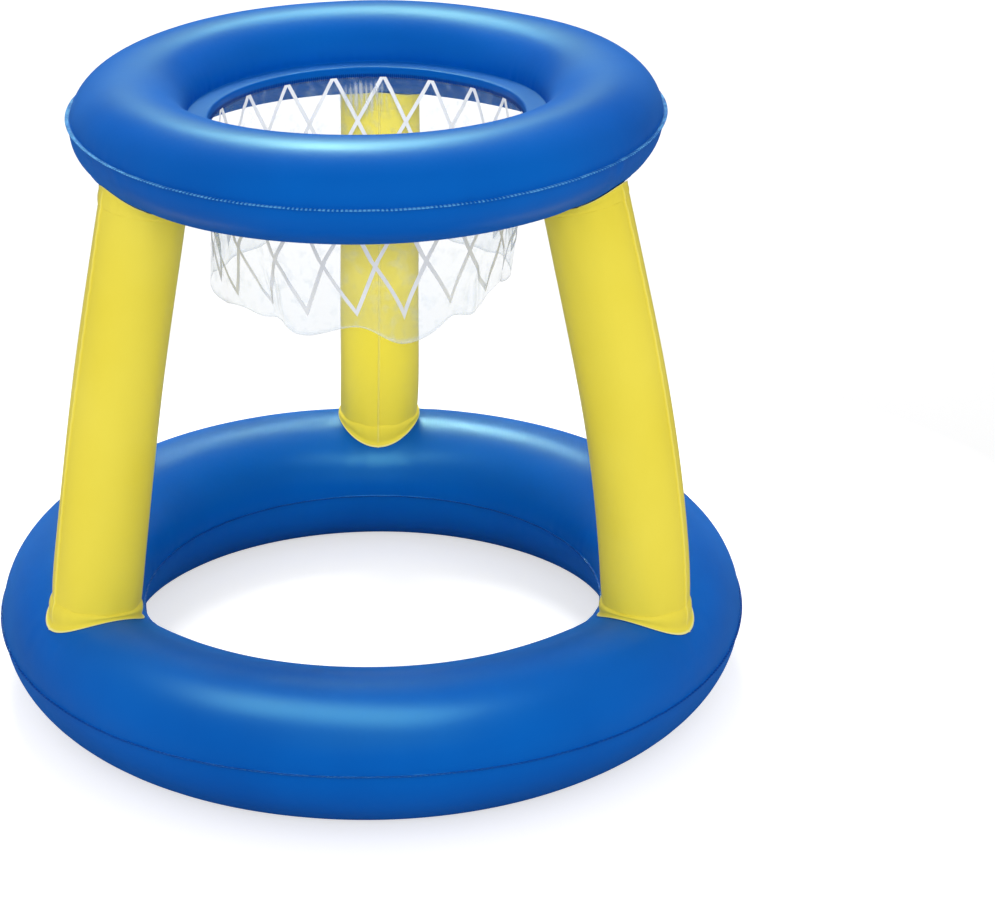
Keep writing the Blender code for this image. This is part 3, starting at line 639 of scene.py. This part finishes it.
def leg_surface(name, leg_azimuth, phase, stance):
    """A leg: foot collar, tube and head collar as one grid of rows along and columns round."""
    even = np.linspace(0, 2 * np.pi, 108, endpoint=False)
    near_weld = np.radians([-3.2, -2.4, -1.8, -1.3, -0.9, -0.5, 0.5, 0.9, 1.3, 1.8, 2.4, 3.2])
    angle = np.unique(np.concatenate([even, near_weld % (2 * np.pi), near_weld + np.pi]).round(6))
    foot, head = [collar(ring, leg_azimuth, angle, stance) for ring in (BASE_RING, HOOP_RING)]
    low, high = foot[-1][0], head[-1][0]
    tube = []
    for share in cosine_steps(0, 1, 84)[1:-1]:
        from_foot, from_head = share * LEG_HEIGHT, (1 - share) * LEG_HEIGHT
        near_end = np.exp(-from_foot / 0.014) + np.exp(-from_head / 0.014)
        pinch = -0.0009 * np.exp(-from_foot / 0.016) - 0.0002 * np.exp(-from_head / 0.016)
        pucker_end = 0.0003 * np.sin(9 * angle + phase + 7 * share) * near_end
        slack = 0.00045 * waves(angle + 2.1 * share + phase, ((3, 0.6, 0.0), (5, 0.4, 1.0)))
        pucker = 0.00025 * np.exp(-(np.abs(np.sin(angle)) / 0.12) ** 2) * np.sin(150 * share + 3 * np.cos(angle) + phase)
        extra = pinch + pucker_end + slack * (1 - near_end) + pucker + LEG_SEAM_WIDTH * seam_ridge(angle)
        tube.append((low + (high - low) * share, extra, 0.25 * seam_ridge(angle)))
    rows = foot + tube + head[::-1]
    points = np.stack([leg_points(along, angle, extra, stance) for along, extra, _ in rows])
    turn = np.array(Matrix.Rotation(leg_azimuth, 3, "Z"))
    # edge: how much painted highlight the colour gets, on the skirts' edges and the side welds.
    edge = np.stack([edge for _, _, edge in rows])
    piece = add_surface(name, points @ turn.T, yellow_vinyl, False, True, edge=edge)
    film = piece.modifiers.new("film", "SOLIDIFY")
    film.thickness = LEG_FILM
    film.offset = -1
    return piece


# %% Build the legs
for order, (name, degrees) in enumerate(LEG_ANGLES.items()):
    leg = leg_surface(f"{name}_leg_vinyl", np.radians(degrees), 1.7 * order, LEG_STANCE[name])
    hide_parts(f"{name}_leg_left_film", f"{name}_leg_right_film")
    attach(leg, "inflated_body")

# %% [markdown]
# ## The net
#
# The net is one strip of clear film, welded into a drum and onto the inside of the hoop's lip. It
# hangs free: it gathers a little, leans to one side, and folds more and more towards its hem. The
# film and its print share one formula for where a point of the flat strip ends up, so the print
# stays on the film.

# %% Name the net's sizes
NET_RADIUS = 0.1220
NET_TOP = 0.4655
NET_LENGTH = 0.131
NET_DROP = 0.1277
NET_GATHER = 0.0048
NET_LEAN = 0.0065
NET_FOLD_DEPTH = 0.0060
NET_FOLDS = ((7, 0.42, 0.6), (12, 0.36, 2.1), (19, 0.22, 4.0))
NET_HEM = ((3, 0.0064, 2.82), (5, 0.0024, -2.01), (7, 0.0052, 0.24), (9, 0.0033, -0.93), (11, 0.0048, 0.46), (14, 0.0012, 2.34))
NET_TWIST = ((2, 0.1677, 0.64), (5, 0.0928, 1.9), (8, 0.0471, -3.11))
CRUMPLES = ((93, 11, 0.08, 0.0022, 30), (196, 9, 0.52, 0.0034, 31), (349, 8, 0.55, 0.0036, 27), (232, 7, 0.80, 0.0020, 22), (318, 8, 0.86, 0.0022, 19))


# %% Place points of the net
def bell(offset, width):
    """1 in the middle and 0 far out."""
    return np.exp(-((offset / width) ** 2))


def net_points(azimuth, drop, proud=0.0):
    """Where the strip's point at azimuth and drop (0 at the weld, 1 at the hem) hangs.

    radius = drum - gather + folds, both growing with drop ** 1.4, then small puckers below the weld
    and a few crumples, each a bell of zigzags. The strip twists, and its hem waves in height at the
    front.
    proud lifts the point off the film."""
    loose = drop**1.4
    twist = (0.276 + waves(azimuth, NET_TWIST)) * np.maximum(drop - 0.55, 0)
    folds = NET_FOLD_DEPTH * waves(azimuth, NET_FOLDS)
    puckers = 0.0007 * np.exp(-drop / 0.13) * waves(azimuth + 0.35 * drop, ((47, 0.6, 0.4), (71, 0.4, 2.0)))
    radius = NET_RADIUS + (folds - NET_GATHER) * loose + puckers * np.minimum(drop * 14, 1) + proud
    for middle, spread, level, depth, zigzags in CRUMPLES:
        off = np.angle(np.exp(1j * (azimuth - np.radians(middle))))
        place = bell(off, np.radians(spread)) * bell(drop - level, 0.17)
        zigzag = np.sin(zigzags * off * 2 + 13 * drop) * np.cos(9 * drop - zigzags * off)
        radius = radius + depth * place * zigzag * np.minimum(drop * 14, 1)
    hem_wave = waves(azimuth, NET_HEM) * (1 - np.sin(azimuth)) / 2
    height = NET_TOP - NET_DROP * drop + hem_wave * drop**9
    points = turned(radius, height, azimuth + twist)
    points[..., 0] -= NET_LEAN * loose
    return hoop_tilted(points)


# %% Build the film
azimuth = np.linspace(0, 2 * np.pi, 600, endpoint=False)[None, :]
drop = np.linspace(1, 0, 110)[:, None]
film_points = net_points(azimuth + 0 * drop, drop + 0 * azimuth)
round_bend = np.linalg.norm(film_points - (np.roll(film_points, 2, axis=1) + np.roll(film_points, -2, axis=1)) / 2, axis=-1)
# crease: the film's bends, which the finish paints whiter as glints, plus the hem band and a little more lower
# down.
crease = np.clip((round_bend - 0.00032) / 0.0009, 0, 1) + 0.6 * bell(1 - drop, 0.012) + 0.07 * drop
crease = np.clip(crease, 0, 1)
net_film = add_surface("net_clear_film", film_points, clear_film, False, True, crease=crease)
film = net_film.modifiers.new("film", "SOLIDIFY")
film.thickness = 0.0002
film.offset = 0
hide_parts("net_film")
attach(net_film, "inflated_body")

# %% [markdown]
# ## The printed net pattern
#
# The white print is a diamond lattice: from each of 19 points at the top, two lines run down and
# apart and cross their neighbours until they end in the points of a V. Each line is a thin ribbon
# of ink through the film, a fraction of a millimetre proud on both of its sides.

# %% Print the lattice
PRINT_COUNT = 19
PRINT_FIRST_AZIMUTH = np.radians(85.4)
PRINT_LENGTH = 0.1171
PRINT_WIDTH = 0.0035


def print_lines():
    """Ribbons as a grid (lines, steps along, points round a flat section, 3)."""
    pitch = 2 * np.pi / PRINT_COUNT
    along = np.linspace(0, 1.015, 64)[None, :, None]
    side = np.repeat([-1.0, 1.0], PRINT_COUNT)[:, None, None]
    start = (PRINT_FIRST_AZIMUTH + pitch * (np.arange(2 * PRINT_COUNT) % PRINT_COUNT))[:, None, None]
    edge = np.array([-1, 0, 1, 1, 0, -1])[None, None, :] * PRINT_WIDTH / 2 / NET_RADIUS
    proud = np.array([1, 1, 1, -1, -1, -1])[None, None, :] * 0.00014
    tip = side * 1.5 * pitch
    offset = side * (0.0008 / NET_RADIUS + 1.5 * pitch * along) + edge
    inner = np.where(side > 0, np.minimum(offset, tip + 0.0001), np.maximum(offset, tip - 0.0001))
    drop = along * PRINT_LENGTH / NET_LENGTH
    return net_points(start + inner, drop + 0 * inner, proud + 0 * inner)


ribbons = print_lines()
lines, steps, ring_count = ribbons.shape[:3]
first = (np.arange(lines) * steps * ring_count)[:, None, None]
row = (np.arange(steps - 1) * ring_count)[None, :, None]
column = np.arange(ring_count)[None, None, :]
after = (column + 1) % ring_count
sides = np.stack([first + row + column, first + row + after, first + row + ring_count + after, first + row + ring_count + column], axis=-1)
ends = [[base + i for i in range(ring_count)][::-1] for base in first.ravel().tolist()]
ends += [[base + (steps - 1) * ring_count + i for i in range(ring_count)] for base in first.ravel().tolist()]
mesh = bpy.data.meshes.new("net_print")
mesh.from_pydata(ribbons.reshape(-1, 3).tolist(), [], sides.reshape(-1, 4).tolist() + ends)
mesh.materials.append(white_ink)
mesh.shade_flat()
net_print = bpy.data.objects.new("net_print", mesh)
bpy.context.scene.collection.objects.link(net_print)
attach(net_print, "inflated_body")
print("net_print has", len(mesh.polygons), "faces")

# %% [markdown]
# ## The valves
#
# Each ring is filled through a push-in valve at the back, and the solids for these are kept.

# %% Finish the valves
for prefix in ("base", "hoop"):
    for part in ("boot", "stem", "plug", "flap"):
        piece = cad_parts[f"{prefix}_valve_{part}"]
        piece.data.materials.clear()
        piece.data.materials.append(valve_plastic)

# %% [markdown]
# ## Floor and light
#
# The set is a plain white floor. A large soft light stands above and behind the hoop, and lamps beside
# it that show only in reflections lay the long pale bands on the rings' crests. The world gives an even
# light from all round. It looks white to the camera, at a strength that doesn't light the object more.

# %% Lay the floor
NEAR_LIFT = 0.60
FAR_LIFT = 0.08
HORIZON_LIFT = 0.35
floor_points = np.array([[[-6, 6, 0], [6, 6, 0]], [[-6, -6, 0], [6, -6, 0]]], float)
white_floor, shader = finish("white_floor", (0.66, 0.66, 0.66), 0.9, 0.1)
floor_tone = blend_colours(white_floor, object_noise(white_floor, 0.7), (0.655, 0.655, 0.657), (0.67, 0.67, 0.67))
mirrored = node(white_floor, "ShaderNodeLightPath").outputs["Is Glossy Ray"]
dimmed = node(white_floor, "ShaderNodeMix", data_type="RGBA")
join(white_floor, mirrored, dimmed.inputs[0])
join(white_floor, floor_tone, dimmed.inputs[6])
dimmed.inputs[7].default_value = (0.1, 0.1, 0.1, 1)
join(white_floor, dimmed.outputs[2], shader.inputs["Base Color"])


def smooth_share(material, value, start, stop):
    """0 before start, 1 after stop, and smooth between."""
    span = [("Value", value), ("From Min", start), ("From Max", stop)]
    return node(material, "ShaderNodeMapRange", span, interpolation_type="SMOOTHSTEP").outputs["Result"]


place = node(white_floor, "ShaderNodeTexCoord").outputs["Object"]
distance = node(white_floor, "ShaderNodeVectorMath", [(0, place)], operation="LENGTH").outputs["Value"]
far_off = smooth_share(white_floor, distance, 0.45, 0.8)
near_lift = calculate(white_floor, "MULTIPLY", calculate(white_floor, "SUBTRACT", 1.0, far_off), NEAR_LIFT)
horizon = smooth_share(white_floor, distance, 2.6, 4.5)
horizon_lift = calculate(white_floor, "MULTIPLY", horizon, HORIZON_LIFT)
lift = calculate(white_floor, "MAXIMUM", near_lift, FAR_LIFT)
lift = calculate(white_floor, "MAXIMUM", lift, horizon_lift)
seen = node(white_floor, "ShaderNodeLightPath").outputs["Is Camera Ray"]
join(white_floor, calculate(white_floor, "MULTIPLY", seen, lift), shader.inputs["Emission Strength"])
shader.inputs["Emission Color"].default_value = (1, 1, 1, 1)
floor = add_surface("floor", floor_points[::-1], white_floor)

# %% Hang the lights
def hang(data, place, target):
    """A lamp at a place, turned to a target."""
    light = bpy.data.objects.new(data.name, data)
    direction = Vector(target) - Vector(place)
    light.matrix_world = Matrix.Translation(place) @ direction.to_track_quat("-Z", "Y").to_matrix().to_4x4()
    bpy.context.scene.collection.objects.link(light)
    return light


def soft_light(name, place, target, width, depth, power):
    """A rectangular area light."""
    data = bpy.data.lights.new(name, "AREA")
    data.shape = "RECTANGLE"
    data.size, data.size_y = width, depth
    data.energy = power
    return hang(data, place, target)


def light_only(light, *pieces):
    """Lets a light reach only these pieces."""
    reached = bpy.data.collections.new("lit_by_" + light.name)
    for piece in pieces:
        reached.objects.link(piece)
    light.light_linking.receiver_collection = reached


SOFTBOX_PLACE = (-0.35, 2.6, 3.25)
RING_SHINE_PLACE = (-0.35, 2.57, 3.22)
LEG_SHINE_PLACE = (-0.35, 2.54, 3.19)
overhead_softbox = soft_light("overhead_softbox", SOFTBOX_PLACE, (0, 0, 0.3), 1.7, 2.0, 120)
overhead_softbox.visible_glossy = False
front_fill = soft_light("front_fill", (0.2, -3.6, 1.9), (0, 0, 0.3), 3.2, 2.2, 50)
front_fill.visible_glossy = False


def spot_light(name, place, target, cone, radius, power):
    """A soft round beam that fades out from its middle."""
    data = bpy.data.lights.new(name, "SPOT")
    data.spot_size, data.spot_blend = np.radians(cone), 1.0
    data.shadow_soft_size = radius
    data.energy = power
    return hang(data, place, target)


def shine_only(light, colour, *pieces):
    """Makes a light show as a reflection, in a colour, and only on these pieces."""
    light.visible_diffuse = False
    light.data.color = colour
    light_only(light, *pieces)


legs = [bpy.data.objects[f"{name}_leg_vinyl"] for name in LEG_ANGLES]
valves = [piece for name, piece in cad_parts.items() if "_valve_" in name]
ring_shine = soft_light("ring_shine", RING_SHINE_PLACE, (0, 0, 0.3), 1.7, 2.0, 115)
shine_only(ring_shine, (0.48, 0.9, 0.88), hoop_ring)
leg_shine = soft_light("leg_shine", LEG_SHINE_PLACE, (0, 0, 0.3), 1.7, 2.0, 65)
shine_only(leg_shine, (1, 1, 1), *legs, net_film, net_print, *valves)
hoop_shine = spot_light("hoop_shine", (-0.35, 2.25, 3.5), (0.02, -0.19, 0.5), 9, 0.25, 330)
shine_only(hoop_shine, (0.75, 0.95, 0.9), hoop_ring)
base_shine = soft_light("base_shine", SOFTBOX_PLACE, (-0.07, 0.27, 0.11), 1.8, 0.25, 2.3)
base_shine.data.spread = np.radians(10)
shine_only(base_shine, (0.8, 0.95, 0.95), base_ring)
crest_light = soft_light("crest_light", (-0.35, -1.0, 2.6), (0, -0.28, 0.1), 2.9, 1.3, 200)
shine_only(crest_light, (1.0, 0.8, 0.9), base_ring)
print_fill = soft_light("print_fill", (0.1, -1.6, 2.6), (0, 0, 0.45), 0.6, 0.6, 30)
print_fill.visible_glossy = False
light_only(print_fill, net_print)
film_shine = spot_light("film_shine", (0.8, -2.0, 1.0), (0, 0, 0.4), 14, 0.2, 60)
shine_only(film_shine, (1, 1, 1), net_film)
rear_leg_fill = spot_light("rear_leg_fill", (0.05, -2.1, 1.2), (0, 0.2, 0.33), 10, 0.12, 220)
rear_leg_fill.visible_glossy = False
light_only(rear_leg_fill, legs[0])

WORLD_SEEN = 1.0
WORLD_LIGHT = 0.75
WORLD_MIRRORED = 0.08
world = bpy.data.worlds.new("white_studio")
bpy.context.scene.world = world
world.use_nodes = True
background = world.node_tree.nodes["Background"]
background.inputs["Color"].default_value = (1, 1, 1, 1)
ray = world.node_tree.nodes.new("ShaderNodeLightPath")
level = world.node_tree.nodes.new("ShaderNodeMath")
level.operation = "MULTIPLY_ADD"
level.inputs[1].default_value = WORLD_SEEN - WORLD_LIGHT
level.inputs[2].default_value = WORLD_LIGHT
mirror_level = world.node_tree.nodes.new("ShaderNodeMath")
mirror_level.operation = "MULTIPLY_ADD"
mirror_level.inputs[1].default_value = WORLD_MIRRORED - WORLD_LIGHT
world.node_tree.links.new(ray.outputs["Is Camera Ray"], level.inputs[0])
world.node_tree.links.new(ray.outputs["Is Glossy Ray"], mirror_level.inputs[0])
world.node_tree.links.new(level.outputs[0], mirror_level.inputs[2])
world.node_tree.links.new(mirror_level.outputs[0], background.inputs["Strength"])

bpy.context.scene.view_settings.view_transform = "Standard"
